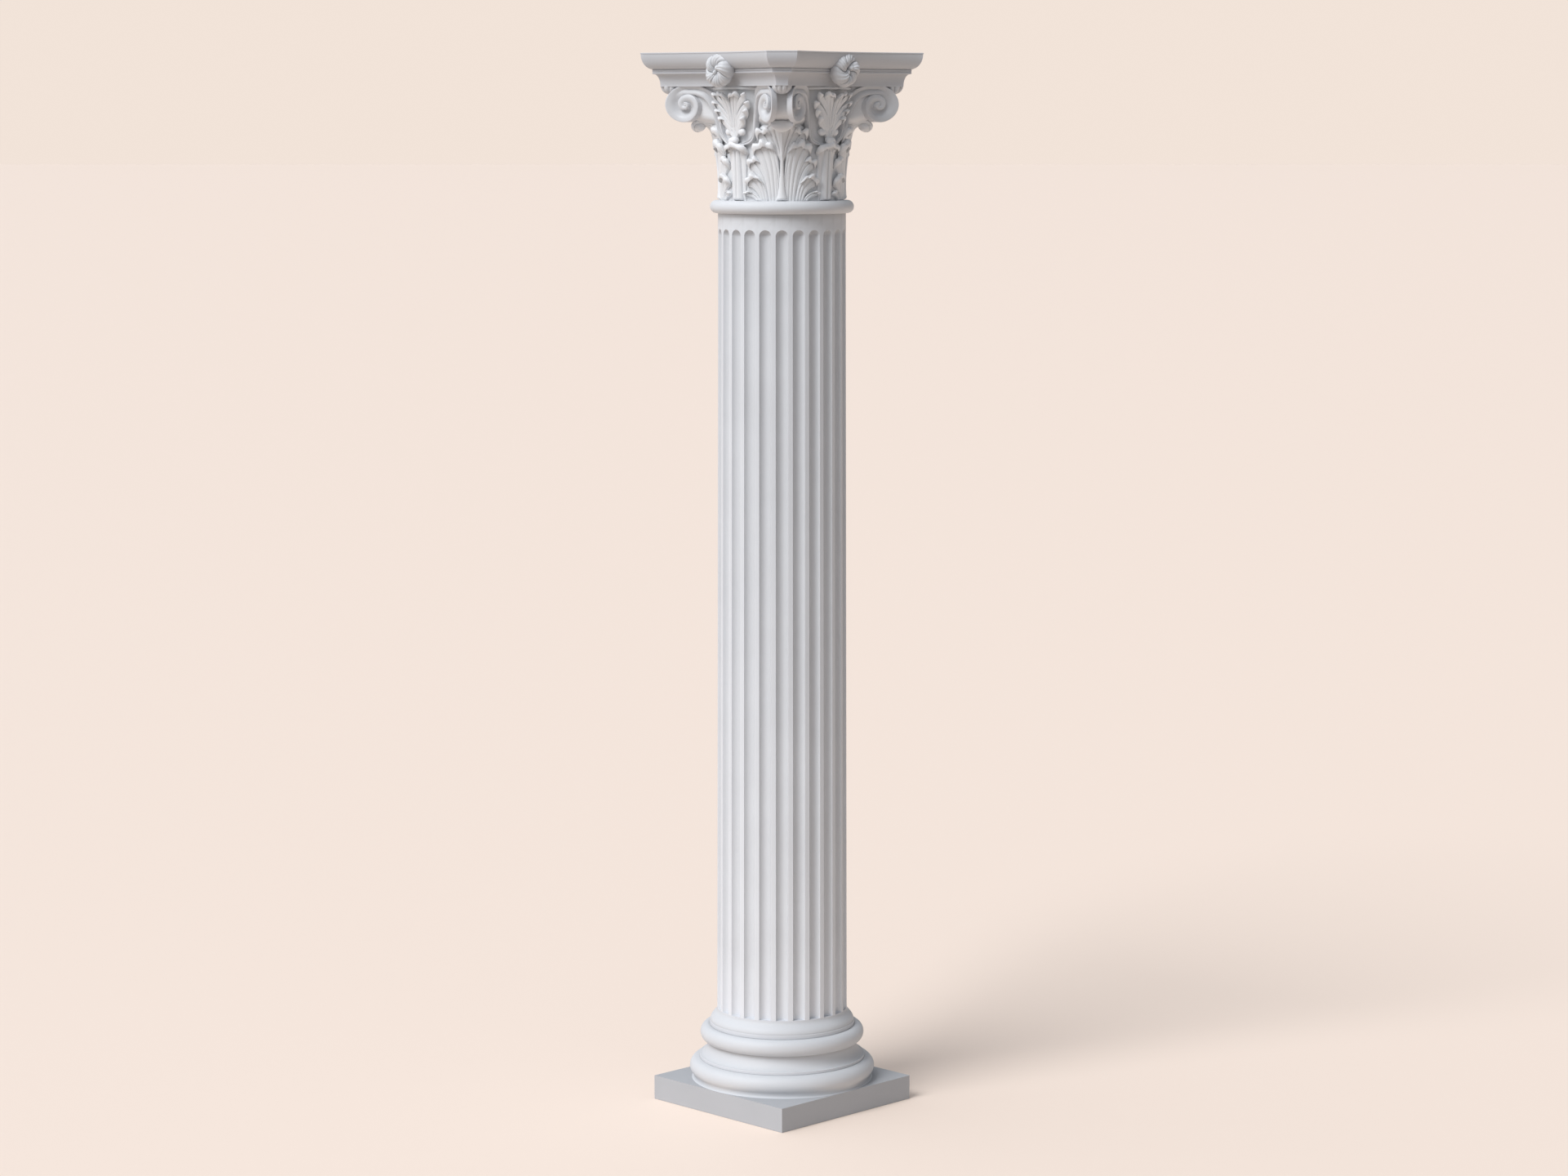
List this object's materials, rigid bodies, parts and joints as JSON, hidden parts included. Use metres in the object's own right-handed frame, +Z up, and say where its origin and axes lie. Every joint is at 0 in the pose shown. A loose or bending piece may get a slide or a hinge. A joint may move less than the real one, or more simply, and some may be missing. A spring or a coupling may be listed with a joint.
{
  "type": "corinthian column",
  "caption": "Round fluted column on a square plinth and moulded base, with a capital of carved leaves and corner scrolls under a concave-sided slab that carries a load.",
  "frame": {"origin": "centre of the plinth's underside", "axes": "+Z up along the column's axis, X and Y square to the faces of the plinth and of the abacus"},
  "size_m": [0.4942, 0.4942, 2.4],
  "materials": {
    "plinth": "matte white cast stone",
    "base": "satin white cast stone",
    "shaft": "satin white cast stone",
    "capital": "satin white cast stone, slightly smoother on the carving"
  },
  "bodies": {
    "root": {"plinth": "plinth", "base": "base", "shaft": "shaft", "capital": "capital"}
  },
  "joints": []
}
